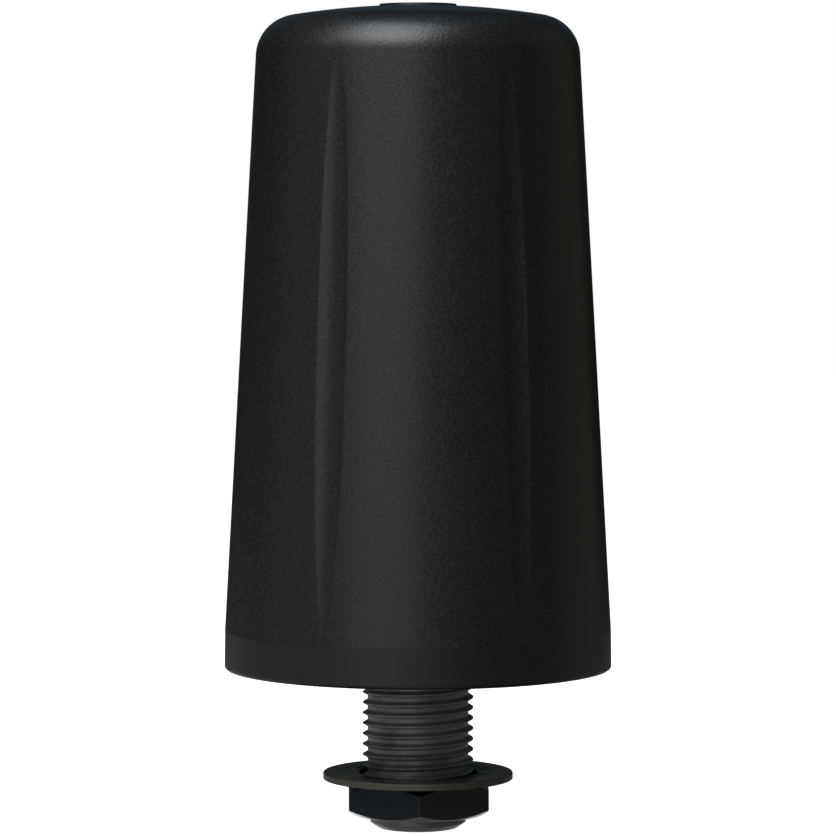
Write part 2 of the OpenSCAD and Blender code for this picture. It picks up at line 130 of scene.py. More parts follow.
# Washer and nut
WASHER_TOP = RIM_Z - 15.0
WASHER_T = 1.0
WASHER_R = 13.65
WASHER_HOLE_R = 8.5
NUT_TOP = WASHER_TOP - WASHER_T
NUT_LOW = NUT_TOP - 5.0
NUT_AF = 20.0
NUT_FACE_R = 9.6
NUT_CORNER_DEG = 31.3
NUT_MOUTH_R = 8.62
NUT_EDGE_R = 0.16
NUT_THREAD = dict(foot_r=7.45, tip_r=8.12, tip_half=0.0534)


# ---------------------------------------------------------------- mesh helpers

def new_object(name, vertices, faces, sharp_angle=SHARP_ANGLE):
    """An object from vertices in millimetres. Corners that fall on one point are merged."""
    mesh = bpy.data.meshes.new(name)
    mesh.from_pydata([tuple(v) for v in np.asarray(vertices) * MM], [], faces)
    bm = bmesh.new()
    bm.from_mesh(mesh)
    bmesh.ops.remove_doubles(bm, verts=bm.verts, dist=MERGE_DISTANCE)
    bmesh.ops.dissolve_degenerate(bm, edges=bm.edges, dist=MERGE_DISTANCE)
    bmesh.ops.recalc_face_normals(bm, faces=bm.faces)
    bm.to_mesh(mesh)
    bm.free()
    mesh.polygons.foreach_set("use_smooth", [True] * len(mesh.polygons))
    mesh.set_sharp_from_angle(angle=math.radians(sharp_angle))
    obj = bpy.data.objects.new(name, mesh)
    bpy.context.scene.collection.objects.link(obj)
    return obj


def grid_faces(rows, columns, start=0, lift=0, close=False):
    """Quads between rings of points.

    A full turn climbs lift rows, and close joins the last row to the first."""
    faces = []
    for i in range(rows if close else rows - 1):
        upper = (i + 1) % rows
        for j in range(columns):
            k = (j + 1) % columns
            climb = lift if k == 0 else 0
            if max(i, upper) + climb >= rows:
                continue
            a, b = start + i * columns, start + upper * columns
            faces.append((a + j, a + k + climb * columns, b + k + climb * columns, b + j))
    return faces


def ring_points(radius, azimuth, height):
    """Points given by radius, azimuth and height, as one list, ring by ring."""
    radius, azimuth, height = np.broadcast_arrays(radius, azimuth, height)
    return np.stack([radius * np.cos(azimuth), radius * np.sin(azimuth), height], axis=-1).reshape(-1, 3)


def rounded(corners, steps=4):
    """A closed outline through (r, z, radius) corners, each rounded by an arc of that radius.

    A point on the straight just outside each end of an arc keeps the shading of the flats flat."""
    outside = 1.6
    outline = []
    for i, (x, y, radius) in enumerate(corners):
        if radius <= 0:
            outline.append((x, y))
            continue
        here = Vector((x, y))
        before = (Vector(corners[i - 1][:2]) - here).normalized()
        after = (Vector(corners[(i + 1) % len(corners)][:2]) - here).normalized()
        half = before.angle(after) / 2
        reach = radius / math.tan(half)
        centre = here + (before + after).normalized() * (radius / math.sin(half))
        start, end = here + before * reach - centre, here + after * reach - centre
        first = math.atan2(start.y, start.x)
        turn = (math.atan2(end.y, end.x) - first + math.pi) % (2 * math.pi) - math.pi
        outline.append(tuple(here + before * reach * outside))
        for k in range(steps + 1):
            a = first + turn * k / steps
            outline.append((centre.x + radius * math.cos(a), centre.y + radius * math.sin(a)))
        outline.append(tuple(here + after * reach * outside))
    return outline


def arc(centre, radius, first, last, steps):
    """Points of an arc in degrees, both ends included."""
    angles = np.radians(np.linspace(first, last, steps + 1))
    return [(centre[0] + radius * math.cos(a), centre[1] + radius * math.sin(a)) for a in angles]


def lathe(name, outline, segments):
    """A closed outline of (r, z) points turned about the axis."""
    line = np.array(outline)
    azimuth = np.linspace(0, 2 * math.pi, segments, endpoint=False)
    points = ring_points(line[:, :1], azimuth, line[:, 1:])
    return new_object(name, points, grid_faces(len(line), segments, close=True))


def join(name, objects):
    """Makes several objects into one and deletes them."""
    bm = bmesh.new()
    for obj in objects:
        bm.from_mesh(obj.data)
        bpy.data.objects.remove(obj)
    mesh = bpy.data.meshes.new(name)
    bm.to_mesh(mesh)
    bm.free()
    joined = bpy.data.objects.new(name, mesh)
    bpy.context.scene.collection.objects.link(joined)
    return joined


def drill(obj, holes):
    """Cuts upright round holes, each (centres, radius, low, high). The holes of one call don't overlap."""
    tools = []
    for places, radius, low, high in holes:
        for x, y in places:
            tool = lathe("drill", [(0, low), (radius, low), (radius, high), (0, high)], segments=48)
            tool.data.transform(Matrix.Translation(Vector((x, y, 0)) * MM))
            tools.append(tool)
    cutter = join("cutter", tools)
    modifier = obj.modifiers.new("holes", "BOOLEAN")
    modifier.operation, modifier.solver, modifier.object = "DIFFERENCE", "EXACT", cutter
    graph = bpy.context.evaluated_depsgraph_get()
    obj.data = bpy.data.meshes.new_from_object(obj.evaluated_get(graph))
    obj.data.set_sharp_from_angle(angle=math.radians(SHARP_ANGLE))
    obj.modifiers.clear()
    bpy.data.objects.remove(cutter)
    return obj


def circle_places(count, radius, first):
    """Centres of things evenly spaced round the axis."""
    angles = [math.radians(first + 360 * i / count) for i in range(count)]
    return [(radius * math.cos(a), radius * math.sin(a)) for a in angles]


# ---------------------------------------------------------------- radome

SLOPE = (LOW_R - HIGH_R) / TAPER_H
LEAN = math.atan(SLOPE)


def side_r(z, inset=0.0):
    """Radius of the taper at a height, moved inwards by inset."""
    return LOW_R - SLOPE * (z - SEAM_Z) - inset / math.cos(LEAN)


def shoulder_centre():
    """Centre of the shoulder's arc, tangent to the taper and to the dome."""
    side = side_r(DOME_Z, SHOULDER_R)
    a, b, c = 1 + SLOPE**2, -SLOPE * side, side**2 - (DOME_R - SHOULDER_R) ** 2
    rise = (-b + math.sqrt(b * b - a * c)) / a
    return side - SLOPE * rise, DOME_Z + rise


def crown_outline(inset, low_z, steps):
    """The radome's meridian from low_z to the apex."""
    centre = shoulder_centre()
    lean = math.degrees(LEAN)
    crown = math.degrees(math.atan2(centre[1] - DOME_Z, centre[0]))
    top_of_side = centre[1] + (SHOULDER_R - inset) * math.sin(LEAN)
    side = [(side_r(z, inset), z) for z in np.linspace(low_z, top_of_side, steps)]
    shoulder = arc(centre, SHOULDER_R - inset, lean, crown, steps // 5)
    dome = arc((0.0, DOME_Z), DOME_R - inset, crown, 90, steps // 6)
    return side + shoulder[1:] + dome[1:]


def dome_height(r, rise=0.0):
    """Height of the dome, or of the disc that stands proud of it, at a radius."""
    return DOME_Z + math.sqrt((DOME_R + rise) ** 2 - r * r)


def with_disc(outline):
    """The meridian with the raised disc in place of the dome's middle."""
    edge = 0.08
    below = [p for p in outline if p[0] > DISC_R + 2 * edge]
    foot = [(r, dome_height(r)) for r in (DISC_R + 2 * edge, DISC_R + 0.4 * edge)]
    lip = arc((DISC_R - edge, dome_height(DISC_R, DISC_RISE) - edge), edge, 0, 90, 4)
    crown = [(r, dome_height(r, DISC_RISE)) for r in np.linspace(DISC_R - 2 * edge, 0, 8)]
    return below + foot + lip + crown


def flute_at(z, wall_r):
    """Half the angle that a flute spans at a height, or 0, and the distance to its section's centre."""
    depth = FLUTE_DEPTH * (1 - ((z - FLUTE_MID) / FLUTE_HALF) ** 2)
    centre = wall_r + FLUTE_SECTION_R - depth
    cosine = (centre**2 + wall_r**2 - FLUTE_SECTION_R**2) / (2 * centre * np.maximum(wall_r, 1))
    return np.where(depth > 0, np.arccos(np.clip(cosine, -1, 1)), 0.0), centre


def fluted_columns(half):
    """Azimuths of the columns: close together across each flute, following its two edges."""
    narrowest = math.radians(0.5)
    spread = np.sqrt(half**2 + narrowest**2)
    half_across = (0.2, 0.4, 0.6, 0.76, 0.88, 0.95, 0.985)
    across = (-1, *(-s for s in reversed(half_across)), 0, *half_across)
    between = (0, 0.003, 0.012, *np.linspace(0.03, 0.97, 44), 0.988, 0.997)
    middles = np.radians([*FLUTE_AZIMUTHS, FLUTE_AZIMUTHS[0] + 360])
    columns = []
    for middle, following in zip(middles[:-1], middles[1:]):
        start, end = middle + spread, following - spread
        columns += [middle + s * spread for s in across]
        columns += [start + (end - start) * t for t in between]
    return np.concatenate(columns, axis=1)


def flute_cut(azimuth, half, centre, wall_r):
    """How deep the flutes cut at each point, with their edges softened by a hundredth."""
    edge = 0.012
    offset = np.full_like(azimuth, math.pi)
    for middle in np.radians(FLUTE_AZIMUTHS):
        turned = (azimuth - middle + math.pi) % (2 * math.pi) - math.pi
        offset = np.where(np.abs(turned) < np.abs(offset), turned, offset)
    under = FLUTE_SECTION_R**2 - (centre * np.sin(offset)) ** 2
    depth = wall_r - centre * np.cos(offset) + np.sqrt(np.clip(under, 0, None))
    soft = (depth + np.sqrt(depth**2 + edge**2)) / 2
    return np.where((under > 0) & (half > 0) & (depth > -1) & (soft > 1e-4), soft, 0.0)


def make_bosses():
    """Screw bosses inside the radome, each with its web into the wall."""
    foot = FLOOR_Z + 0.1
    section = rounded([
        (BOSS_BORE_R, foot, 0), (BOSS_R, foot, 0.2), (BOSS_R, BOSS_TOP, 0.3),
        (0, BOSS_TOP, 0), (0, BOSS_BORE_TOP, 0), (BOSS_BORE_R, BOSS_BORE_TOP, 0.2),
    ])
    ends = (BOSS_PCR + BOSS_R - 0.3, side_r(BOSS_TOP, WALL / 2))
    corners = [(r, s, z) for z in (WEB_LOW, WEB_HIGH) for s in (-WEB_HALF, WEB_HALF) for r in ends]
    box_faces = [(0, 1, 3, 2), (4, 6, 7, 5), (0, 4, 5, 1), (2, 3, 7, 6), (1, 5, 7, 3), (0, 2, 6, 4)]
    pieces = []
    for i, (x, y) in enumerate(circle_places(4, BOSS_PCR, 0)):
        boss = lathe("boss", section, segments=48)
        boss.data.transform(Matrix.Translation(Vector((x, y, 0)) * MM))
        web = new_object("web", corners, box_faces)
        web.data.transform(Matrix.Rotation(math.radians(90 * i), 4, "Z"))
        pieces += [boss, web]
    return pieces


def make_radome():
    """The shell with its four flutes, and the bosses inside it."""
    rows_outside, rows_inside = 170, 50
    seam_gap = 0.01
    low = SEAM_Z + seam_gap
    foot = [(side_r(low, WALL), low), (side_r(low), low)]
    outer = foot + with_disc(crown_outline(0.0, low + 0.1, rows_outside))
    inner = crown_outline(WALL, low, rows_inside)[::-1]
    line = np.array(outer + inner[:-1])
    wall_r, z = line[:, :1], line[:, 1:]
    is_outer = np.arange(len(line))[:, None] < len(outer)
    half, centre = flute_at(z, wall_r)
    half = np.where(is_outer & (wall_r > HIGH_R - 1), half, 0.0)
    azimuth = fluted_columns(half)
    radius = wall_r - flute_cut(azimuth, half, centre, wall_r)
    faces = grid_faces(len(line), azimuth.shape[1], close=True)
    shell = new_object("radome_shell", ring_points(radius, azimuth, z), faces, sharp_angle=50)
    return join("radome_skin", [shell, *make_bosses()])


# ---------------------------------------------------------------- base and gasket

def make_base():
    """Base band and floor with its spigot, grooves, screw pits and vent."""
    groove_z = RIM_Z + GASKET_GROOVE
    seal_r, seal_low, seal_high = SPIGOT_R - SEAL_DEPTH, SEAL_Z - SEAL_HALF, SEAL_Z + SEAL_HALF
    inside_r = SPIGOT_R - SPIGOT_T
    stud_seal_z = FLOOR_Z - STUD_SEAL_DEPTH
    outline = rounded([
        (SHOULDER_HOLE_R, RIM_Z, 0.1), (GASKET_IN, RIM_Z, 0.1), (GASKET_IN, groove_z, 0.05),
        (GASKET_OUT, groove_z, 0.05), (GASKET_OUT, RIM_Z, 0.1), (BASE_R, RIM_Z, 0.4),
        (LOW_R, SEAM_Z, 0), (SPIGOT_R, SEAM_Z, 0.1), (SPIGOT_R, seal_low, 0.05),
        (seal_r, seal_low, 0.1), (seal_r, seal_high, 0.1), (SPIGOT_R, seal_high, 0.05),
        (SPIGOT_R, SPIGOT_TOP, 0.2), (inside_r, SPIGOT_TOP, 0.2), (inside_r, FLOOR_Z, 0.4),
        (STUD_SEAL_OUT, FLOOR_Z, 0.1), (STUD_SEAL_OUT, stud_seal_z, 0.1), (STUD_SEAL_IN, stud_seal_z, 0.1),
        (STUD_SEAL_IN, FLOOR_Z, 0.05), (SHOULDER_HOLE_R, FLOOR_Z, 0.05),
    ])
    base = lathe("base_moulding", outline, segments=256)
    bosses = circle_places(4, BOSS_PCR, 0)
    vent = circle_places(1, BOSS_PCR, VENT_AZIMUTH)
    above, below, blind = FLOOR_Z + 1, RIM_Z - 1, FLOOR_Z - BLIND_DEPTH
    drill(base, [
        (bosses, SCREW_PIT_R, below, RIM_Z + SCREW_PIT), (vent, VENT_PIT_R, below, RIM_Z + VENT_PIT),
        (circle_places(4, FLANGE_PCR, 45), SCREW_HOLE_R, blind, above),
        (circle_places(4, SPACER_PCR, 45), SCREW_HOLE_R, blind, above),
    ])
    return drill(base, [(bosses, SCREW_WAY_R, below, above), (vent, VENT_WAY_R, below, above)])


def make_gasket():
    """Flat rubber ring with two sealing grooves in its face."""
    side_gap, top_gap, face = 0.1, 0.02, 0.0
    low_in, low_out = GASKET_IN + side_gap, GASKET_OUT - side_gap
    top = RIM_Z + GASKET_GROOVE - top_gap
    grooves = []
    for middle in (GASKET_IN + GASKET_LINE_IN, GASKET_OUT - GASKET_LINE_IN):
        hollow = [(r, z, 0) for r, z in arc((middle, face), GASKET_LINE_R, 165, 15, 8)]
        grooves += [(middle - GASKET_LINE_R, face, 0.03), *hollow, (middle + GASKET_LINE_R, face, 0.03)]
    inside = [(low_in, top, 0.1), (low_in, face, 0.15)]
    outside = [(low_out, face, 0.15), (low_out, top, 0.1)]
    outline = rounded([*inside, *grooves, *outside])
    return lathe("gasket_moulding", outline, segments=192)


# ---------------------------------------------------------------- threads

def thread_section(foot_r, tip_r, tip_half, rounding=0.07):
    """One pitch of a 60 degree thread as (distance along the axis from the crest, radius)."""
    foot_half = tip_half + abs(tip_r - foot_r) * math.tan(math.radians(30))
    left = [(-PITCH / 2, foot_r, 0), (-foot_half, foot_r, rounding), (-tip_half, tip_r, rounding * 0.8)]
    right = [(-x, r, corner) for x, r, corner in reversed(left)]
    points = np.array(rounded(left + right, 3))
    flank = np.linspace(-foot_half * 0.8, -tip_half * 2, 4)
    extra = np.concatenate([flank, -flank])
    places = np.sort(np.concatenate([points[:, 0], extra]))
    return np.stack([places, np.interp(places, points[:, 0], points[:, 1])], axis=1)


def thread_wall(section, azimuth, low_z, high_z, limit):
    """Radius and height of the rows along a right-hand thread, and how many rows it climbs in a turn.

    limit changes the radius where a cone cuts the thread. The outermost rows fall on two level rings."""
    spare_turns = 2
    offsets = section[:-1, 0]
    first = math.floor((low_z - CREST_Z) / PITCH) - spare_turns
    last = math.ceil((high_z - CREST_Z) / PITCH) + spare_turns
    turns = np.repeat(np.arange(first, last), len(offsets))[:, None]
    along = np.tile(offsets, last - first)[:, None]
    z = np.clip(CREST_Z + PITCH * (turns + azimuth / (2 * math.pi)) + along, low_z, high_z)
    phase = (z - CREST_Z) / PITCH - azimuth / (2 * math.pi)
    away = (phase - np.round(phase)) * PITCH
    return limit(np.interp(away, section[:, 0], section[:, 1]), z), z, len(offsets)


def threaded_object(name, wall, outline_r, outline_z, azimuth):
    """A closed mesh of a thread wall and of the rows of an outline that joins its two ends."""
    radius, z, lift = wall
    points = [ring_points(radius, azimuth, z), ring_points(outline_r, azimuth, outline_z)]
    faces = grid_faces(len(z), len(azimuth), lift=lift)
    faces += grid_faces(len(outline_z), len(azimuth), start=len(points[0]))
    return new_object(name, np.concatenate(points), faces)


def make_stud():
    """Hollow stud with its helical thread, plain point, stepped bore and drilled flange."""
    azimuth = np.linspace(0, 2 * math.pi, 144, endpoint=False)
    neck_edge = 0.1
    neck_r = SHOULDER_FIT_R - neck_edge
    clip_low = CLIP_TOP - CLIP_H

    def limit(radius, z):
        return np.minimum(radius, np.maximum(POINT_R + z - POINT_TOP, POINT_R))

    wall = thread_wall(thread_section(**STUD_THREAD), azimuth, POINT_TOP, REGISTER_END, limit)
    line = np.array(rounded([
        (POINT_R, POINT_TOP, 0), (POINT_R, STUD_END + POINT_EDGE_H, 0.3),
        (POINT_R - POINT_EDGE_R, STUD_END, 0.12), (STUD_BORE_R, STUD_END, 0.05),
        (STUD_BORE_R, clip_low, 0.04), (CLIP_R, clip_low, 0.08), (CLIP_R, CLIP_TOP, 0.08),
        (STUD_BORE_R, CLIP_TOP, 0.04), (STUD_BORE_R, WIRE_BORE_Z, 0.2), (WIRE_BORE_R, WIRE_BORE_Z, 0.3),
        (WIRE_BORE_R, FLANGE_TOP, 0.4), (neck_r, FLANGE_TOP, 0), (neck_r, FLOOR_Z, 0),
        (SHOULDER_FIT_R, FLOOR_Z - neck_edge, 0), (SHOULDER_FIT_R, RIM_Z, 0.06),
        (REGISTER_R, RIM_Z, 0.04), (REGISTER_R, REGISTER_END, 0),
    ], 3))
    top_ring = wall[0][-1:]
    outline_r = np.concatenate([np.repeat(line[:, :1], len(azimuth), axis=1), top_ring])
    outline_z = np.concatenate([line[:, 1:], [[REGISTER_END]]])
    tube = threaded_object("stud_tube", wall, outline_r, outline_z, azimuth)
    flange = lathe("stud_flange", rounded([
        (neck_r, FLOOR_Z, 0), (FLANGE_R, FLOOR_Z, 0.15), (FLANGE_R, FLANGE_TOP, 0.3),
        (neck_r, FLANGE_TOP, 0),
    ]), segments=144)
    drill(flange, [(circle_places(4, FLANGE_PCR, 45), FLANGE_HOLE_R, FLOOR_Z - 1, FLANGE_TOP + 1)])
    return join("stud_turned", [tube, flange])


# ---------------------------------------------------------------- washer and nut

def make_washer():
    """Pressed washer: well rounded on the punch side, with a finer edge below."""
    outline = rounded([
        (WASHER_HOLE_R, NUT_TOP, 0.08), (WASHER_R, NUT_TOP, 0.12),
        (WASHER_R, WASHER_TOP, 0.2), (WASHER_HOLE_R, WASHER_TOP, 0.15),
    ])
    return lathe("washer_pressed", outline, segments=256)


def hexagon_r(azimuth):
    """Radius of the nut's hexagon at an azimuth, with its six corners rounded."""
    flat = NUT_AF / 2
    sixth = math.pi / 6
    from_corner = (azimuth - math.radians(NUT_CORNER_DEG) + sixth) % (2 * sixth) - sixth
    from_face = sixth - np.abs(from_corner)
    centre = (flat - NUT_EDGE_R) / math.cos(sixth)
    under = NUT_EDGE_R**2 - (centre * np.sin(from_corner)) ** 2
    on_arc = centre * np.cos(from_corner) + np.sqrt(np.clip(under, 0, None))
    tangent = math.atan2((flat - NUT_EDGE_R) * math.tan(sixth), flat)
    return np.where(from_face < tangent, flat / np.cos(from_face), on_arc)


def make_nut():
    """Jam nut: six flats, a chamfer on both faces, and a countersink at each mouth of its thread."""
    corner_to_face = (0, 0.25, 0.5, 0.75, 1.0, 1.3, 1.8, 2.6, 4, 6, 9, 12, 16, 20, 25, 30)
    sixth = [*corner_to_face, *(60 - d for d in reversed(corner_to_face[1:-1]))]
    azimuth = np.radians([NUT_CORNER_DEG + 60 * k + d for k in range(6) for d in sixth])
    columns = []
    for r in hexagon_r(azimuth):
        drop = (r - NUT_FACE_R) * math.tan(math.radians(30))
        columns.append(rounded([
            (NUT_MOUTH_R, NUT_TOP, 0), (NUT_FACE_R, NUT_TOP, 0.1), (r, NUT_TOP - drop, 0.1),
            (r, NUT_LOW + drop, 0.1), (NUT_FACE_R, NUT_LOW, 0.1), (NUT_MOUTH_R, NUT_LOW, 0),
        ]))
    outline = np.array(columns).transpose(1, 0, 2)

    def limit(radius, z):
        return np.maximum(radius, NUT_MOUTH_R - np.minimum(NUT_TOP - z, z - NUT_LOW))

    wall = thread_wall(thread_section(**NUT_THREAD), azimuth, NUT_LOW, NUT_TOP, limit)
    return threaded_object("nut_machined", wall, outline[:, :, 0], outline[:, :, 1], azimuth)


# ---------------------------------------------------------------- material helpers

class Surface:
    """A Principled material with short ways to wire procedural detail into it."""

    def __init__(self, name, roughness, metallic=0.0, specular=0.5, coat=0.0, coat_roughness=0.1):
        self.material = bpy.data.materials.new(name)
        self.material.use_nodes = True
        self.nodes = self.material.node_tree.nodes
        self.links = self.material.node_tree.links
        self.shader = self.nodes["Principled BSDF"]
        self.shader.inputs["Roughness"].default_value = roughness
        self.shader.inputs["Metallic"].default_value = metallic
        self.shader.inputs["Specular IOR Level"].default_value = specular
        self.shader.inputs["Coat Weight"].default_value = coat
        self.shader.inputs["Coat Roughness"].default_value = coat_roughness
        self.place = self.nodes.new("ShaderNodeTexCoord").outputs["Object"]

    def stretched(self, x, y, z):
        """The object's coordinates scaled by axis, for grain that runs one way."""
        mapping = self.nodes.new("ShaderNodeMapping")
        mapping.inputs["Scale"].default_value = (x, y, z)
        self.links.new(self.place, mapping.inputs["Vector"])
        return mapping.outputs["Vector"]

    def noise(self, per_metre, detail=2.0, rough=0.5, place=None):
        """Soft noise with that many features per metre."""
        node = self.nodes.new("ShaderNodeTexNoise")
        node.inputs["Scale"].default_value = per_metre
        node.inputs["Detail"].default_value = detail
        node.inputs["Roughness"].default_value = rough
        self.links.new(place or self.place, node.inputs["Vector"])
        return node.outputs["Fac"]

    def cells(self, per_metre, feature="F1"):
        """Distance within rounded cells, for pits, beads or foam."""
        node = self.nodes.new("ShaderNodeTexVoronoi")
        node.feature = feature
        node.inputs["Scale"].default_value = per_metre
        self.links.new(self.place, node.inputs["Vector"])
        return node.outputs["Distance"]

    def spread(self, value, low, high, new_low=0.0, new_high=1.0):
        """The value's stretch from low to high, moved to a new range."""
        node = self.nodes.new("ShaderNodeMapRange")
        limits = {"From Min": low, "From Max": high, "To Min": new_low, "To Max": new_high}
        for name, number in limits.items():
            node.inputs[name].default_value = number
        self.links.new(value, node.inputs["Value"])
        return node.outputs["Result"]

    def combine(self, operation, a, b):
        """Arithmetic on two values, either of which may be a number."""
        node = self.nodes.new("ShaderNodeMath")
        node.operation = operation
        for value, socket in zip((a, b), node.inputs):
            if isinstance(value, (int, float)):
                socket.default_value = value
            else:
                self.links.new(value, socket)
        return node.outputs["Value"]

    def blend(self, value, dark, light):
        """A colour between two, by a value from 0 to 1. Either may be another colour output."""
        node = self.nodes.new("ShaderNodeMix")
        node.data_type = "RGBA"
        self.links.new(value, node.inputs["Factor"])
        for colour, socket in ((dark, node.inputs[6]), (light, node.inputs[7])):
            if isinstance(colour, tuple):
                socket.default_value = (*colour, 1)
            else:
                self.links.new(colour, socket)
        return node.outputs[2]

    def edge_wear(self, low=0.52, high=0.6):
        """0 on flats and in hollows, towards 1 on outer edges."""
        geometry = self.nodes.new("ShaderNodeNewGeometry")
        return self.spread(geometry.outputs["Pointiness"], low, high)

    def axis_distance(self):
        """Distance from the part's axis in metres."""
        flat = self.nodes.new("ShaderNodeVectorMath")
        flat.operation = "MULTIPLY"
        flat.inputs[1].default_value = (1, 1, 0)
        length = self.nodes.new("ShaderNodeVectorMath")
        length.operation = "LENGTH"
        self.links.new(self.place, flat.inputs[0])
        self.links.new(flat.outputs["Vector"], length.inputs[0])
        return length.outputs["Value"]

    def colour(self, output):
        """Wires an output to the shader's base colour."""
        self.links.new(output, self.shader.inputs["Base Color"])

    def roughness(self, output):
        """Wires an output to the shader's roughness."""
        self.links.new(output, self.shader.inputs["Roughness"])

    def bump(self, height, depth_mm):
        """Relief of that depth where height goes from 0 to 1. A second call adds to the first."""
        node = self.nodes.new("ShaderNodeBump")
        node.inputs["Distance"].default_value = depth_mm * MM
        self.links.new(height, node.inputs["Height"])
        normal = self.shader.inputs["Normal"]
        if normal.is_linked:
            self.links.new(normal.links[0].from_socket, node.inputs["Normal"])
        self.links.new(node.outputs["Normal"], normal)


# ---------------------------------------------------------------- materials

def radome_plastic():
    """Black moulded plastic with a spark-eroded grain and a faint polish on its edges."""
    s = Surface("radome_plastic", roughness=0.37)
    grain = s.noise(2600, 3, 0.6)
    pits = s.cells(2200)
    patch = s.noise(60, 3)
    tone = s.blend(s.spread(grain, 0.3, 0.7), (0.0050, 0.0053, 0.0054), (0.0158, 0.0163, 0.0165))
    s.colour(s.blend(s.spread(patch, 0.3, 0.7, 0, 0.25), tone, (0.0100, 0.0105, 0.0105)))
    rough = s.spread(grain, 0.3, 0.7, 0.31, 0.42)
    rough = s.combine("ADD", rough, s.spread(patch, 0.3, 0.7, -0.015, 0.015))
    s.roughness(s.combine("SUBTRACT", rough, s.combine("MULTIPLY", s.edge_wear(), 0.05)))
    s.bump(s.combine("ADD", grain, s.combine("MULTIPLY", pits, 0.5)), 0.022)
    return s.material


def base_plastic():
    """The radome's plastic with a finer, flatter and duller grain."""
    s = Surface("base_plastic", roughness=0.45, specular=0.46)
    grain = s.noise(3600, 3, 0.6)
    s.colour(s.blend(s.spread(grain, 0.3, 0.7), (0.0065, 0.0068, 0.0068), (0.0110, 0.0114, 0.0114)))
    s.roughness(s.spread(grain, 0.3, 0.7, 0.42, 0.48))
    s.bump(grain, 0.012)
    return s.material


def rubber():
    """Moulded rubber with a dusty bloom and a fine dull grain."""
    s = Surface("rubber", roughness=0.75, specular=0.35)
    grain = s.noise(5000, 4, 0.6)
    bloom = s.noise(350, 4, 0.6)
    s.colour(s.blend(s.spread(bloom, 0.35, 0.7), (0.014, 0.014, 0.014), (0.034, 0.034, 0.033)))
    s.roughness(s.spread(bloom, 0.3, 0.7, 0.68, 0.85))
    s.bump(grain, 0.02)
    return s.material


def stud_metal():
    """Turned plated steel: fine rings, crests lightened as a painted highlight, darker under old, oily
    films.
    """
    s = Surface("stud_metal", roughness=0.45, metallic=0.3)
    rings = s.noise(1.0, 3, 0.6, s.stretched(300, 300, 9000))
    patch = s.noise(700, 4, 0.6)
    # Painted highlight: the colour lightens towards the thread crests, the points farthest from the axis.
    crest_highlight = s.spread(s.axis_distance(), 7.7 * MM, 7.97 * MM)
    tone = s.blend(s.spread(patch, 0.3, 0.7), (0.220, 0.221, 0.220), (0.290, 0.291, 0.290))
    wear_and_highlight = s.blend(s.combine("MULTIPLY", crest_highlight, 0.5), tone, (0.46, 0.46, 0.457))
    oil_and_shade = s.spread(s.noise(120, 3, 0.6), 0.47, 0.60, 0.0, 0.65)
    s.colour(s.blend(oil_and_shade, wear_and_highlight, (0.075, 0.075, 0.066)))
    s.roughness(s.spread(patch, 0.3, 0.7, 0.38, 0.50))
    s.bump(rings, 0.006)
    return s.material


def washer_metal():
    """Olive-dark plated steel with faint dings, a rougher sheared rim, and a patchy painted shade and
    reflection of the stud round its hole.
    """
    s = Surface("washer_metal", roughness=0.2, metallic=0.6)
    grain = s.noise(4000, 3, 0.6)
    patch = s.noise(500, 4, 0.6)
    dings = s.spread(s.cells(700), 0.0, 0.12)
    rim = s.spread(s.axis_distance(), 13.5 * MM, 13.6 * MM)
    tone = s.blend(s.spread(patch, 0.3, 0.7), (0.092, 0.092, 0.074), (0.124, 0.124, 0.101))
    # Painted shade and reflection of the stud: a patchy darkening of the top round the hole.
    near_hole = s.spread(s.axis_distance(), 9.0 * MM, 12.0 * MM, 1.0, 0.0)
    oil_and_shade = s.combine("MULTIPLY", near_hole, s.spread(s.noise(300, 3, 0.6), 0.40, 0.55))
    wear_and_highlight = s.blend(s.combine("MULTIPLY", s.edge_wear(), 0.3), tone, (0.20, 0.20, 0.17))
    s.colour(s.blend(oil_and_shade, wear_and_highlight, (0.014, 0.015, 0.014)))
    rough = s.combine("ADD", s.spread(patch, 0.3, 0.7, 0.16, 0.22), s.combine("MULTIPLY", rim, 0.4))
    s.roughness(s.combine("ADD", rough, s.combine("MULTIPLY", oil_and_shade, 0.4)))
    s.bump(s.combine("ADD", s.combine("MULTIPLY", grain, 0.5), dings), 0.003)
    return s.material


def nut_metal():
    """Gloss black lacquer over steel, slightly wavy, thin on the edges."""
    s = Surface("nut_metal", roughness=0.22)
    waves = s.noise(450, 2)
    specks = s.noise(6000, 3, 0.6)
    tone = s.blend(s.spread(specks, 0.3, 0.7), (0.0045, 0.0060, 0.0078), (0.0070, 0.0088, 0.0110))
    s.colour(s.blend(s.combine("MULTIPLY", s.edge_wear(), 0.08), tone, (0.015, 0.015, 0.017)))
    s.roughness(s.spread(specks, 0.3, 0.7, 0.17, 0.27))
    s.bump(waves, 0.010)
    s.bump(specks, 0.002)
    return s.material


def steel():
    """Satin stainless steel with fine tool marks."""
    s = Surface("steel", roughness=0.3, metallic=1.0)
    marks = s.noise(1.0, 3, 0.6, s.stretched(2500, 2500, 9000))
    patch = s.noise(900, 3)
    s.colour(s.blend(s.spread(patch, 0.3, 0.7), (0.50, 0.50, 0.51), (0.64, 0.64, 0.65)))
    s.roughness(s.spread(marks, 0.3, 0.7, 0.24, 0.38))
    s.bump(marks, 0.004)
    return s.material


def connector_metal():
    """Nickel plate over turned brass."""
    s = Surface("connector_metal", roughness=0.25, metallic=1.0)
    rings = s.noise(1.0, 3, 0.6, s.stretched(250, 250, 12000))
    patch = s.noise(800, 3)
    s.colour(s.blend(s.spread(patch, 0.3, 0.7), (0.46, 0.46, 0.45), (0.60, 0.60, 0.59)))
    s.roughness(s.spread(rings, 0.3, 0.7, 0.20, 0.34))
    s.bump(rings, 0.004)
    return s.material


